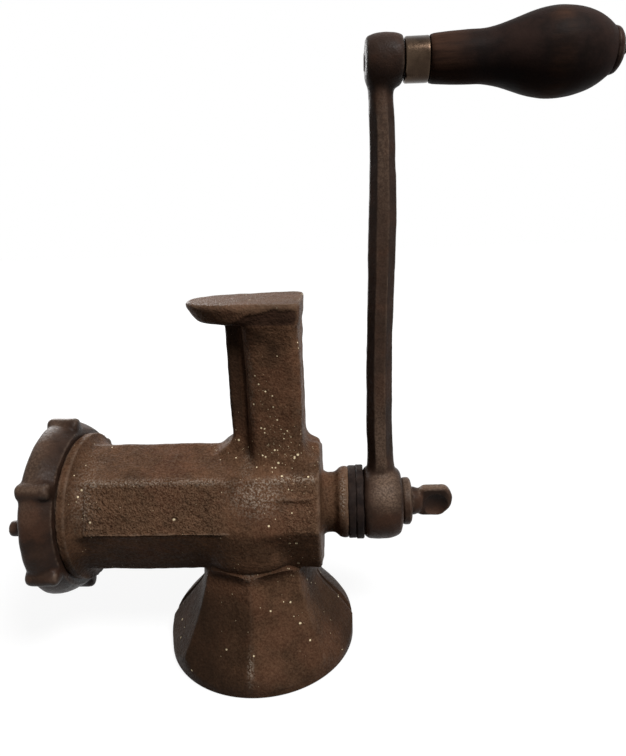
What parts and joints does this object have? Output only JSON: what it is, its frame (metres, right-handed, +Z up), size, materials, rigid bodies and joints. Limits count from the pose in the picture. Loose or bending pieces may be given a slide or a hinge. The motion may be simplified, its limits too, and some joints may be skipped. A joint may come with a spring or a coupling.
{
  "type": "manual meat grinder",
  "caption": "Hand-cranked table meat grinder: octagonal barrel with flared hopper, clamp leg and jaw, lugged ring over a cutter plate, and a crank with a turned wooden handle.",
  "frame": {"origin": "centre of the hopper's mouth, in the plane of the rim that it stands on", "axes": "+X along the barrel towards the crank, +Z up from the standing rim to the clamp jaw, +Y away from the picture's viewer; in use it is turned over about X, with the hopper up"},
  "size_m": [0.2549, 0.0906, 0.277],
  "materials": {
    "body_casting": "rough sand casting, rust-brown",
    "plate_key": "plain",
    "feed_worm": "worn bright on the flight",
    "worm_stud": "machined",
    "cutter_knife": "ground",
    "cutter_plate": "ground",
    "ring_nut": "smoother casting, brown",
    "thrust_washer": "plain",
    "seal_washer_inner": "matt black",
    "seal_washer_outer": "matt black",
    "crank_arm": "smooth from handling",
    "thumb_washer": "brown",
    "thumb_screw": "brown",
    "handle_bolt": "dull",
    "handle_ferrule": "tarnished",
    "handle_grip": "dark, worn varnish",
    "handle_button": "dull"
  },
  "bodies": {
    "frame": {"body_casting": "body_casting", "plate_key": "plate_key"},
    "drive": {"feed_worm": "feed_worm", "worm_stud": "worm_stud", "cutter_knife": "cutter_knife", "thrust_washer": "thrust_washer", "seal_washer_inner": "seal_washer_inner", "seal_washer_outer": "seal_washer_outer", "crank_arm": "crank_arm", "handle_bolt": "handle_bolt", "handle_button": "handle_button"},
    "grip": {"handle_grip": "handle_grip", "handle_ferrule": "handle_ferrule"},
    "plate": {"cutter_plate": "cutter_plate"},
    "ring": {"ring_nut": "ring_nut"},
    "thumb_seat": {"thumb_washer": "thumb_washer"},
    "thumb": {"thumb_screw": "thumb_screw"}
  },
  "joints": [
    {"name": "crank_turn", "type": "hinge", "parent": "frame", "child": "drive", "pos_m": [0.04, 0, 0.072], "axis": [-1, 0, 0], "continuous": true},
    {"name": "handle_turn", "type": "hinge", "parent": "drive", "child": "grip", "pos_m": [0.11, 0, 0.261], "axis": [1, 0, 0], "continuous": true},
    {"name": "plate_slide", "type": "slide", "parent": "frame", "child": "plate", "axis": [-1, 0, 0], "range_m": [0, 0.00752]},
    {"name": "ring_turn", "type": "hinge", "parent": "plate", "child": "ring", "pos_m": [-0.09, 0, 0.072], "axis": [-1, 0, 0], "range_deg": [0, 1080]},
    {"name": "thumb_slide", "type": "slide", "parent": "drive", "child": "thumb_seat", "axis": [1, 0, 0], "range_m": [0, 0.00625]},
    {"name": "thumb_turn", "type": "hinge", "parent": "thumb_seat", "child": "thumb", "pos_m": [0.08, 0, 0.072], "axis": [1, 0, 0], "range_deg": [0, 1801]}
  ],
  "couplings": [
    {"joint": "plate_slide", "follows": "ring_turn", "m_per_rad": 0.00039789},
    {"joint": "thumb_turn", "follows": "thumb_slide", "rad_per_m": 5026.5}
  ]
}
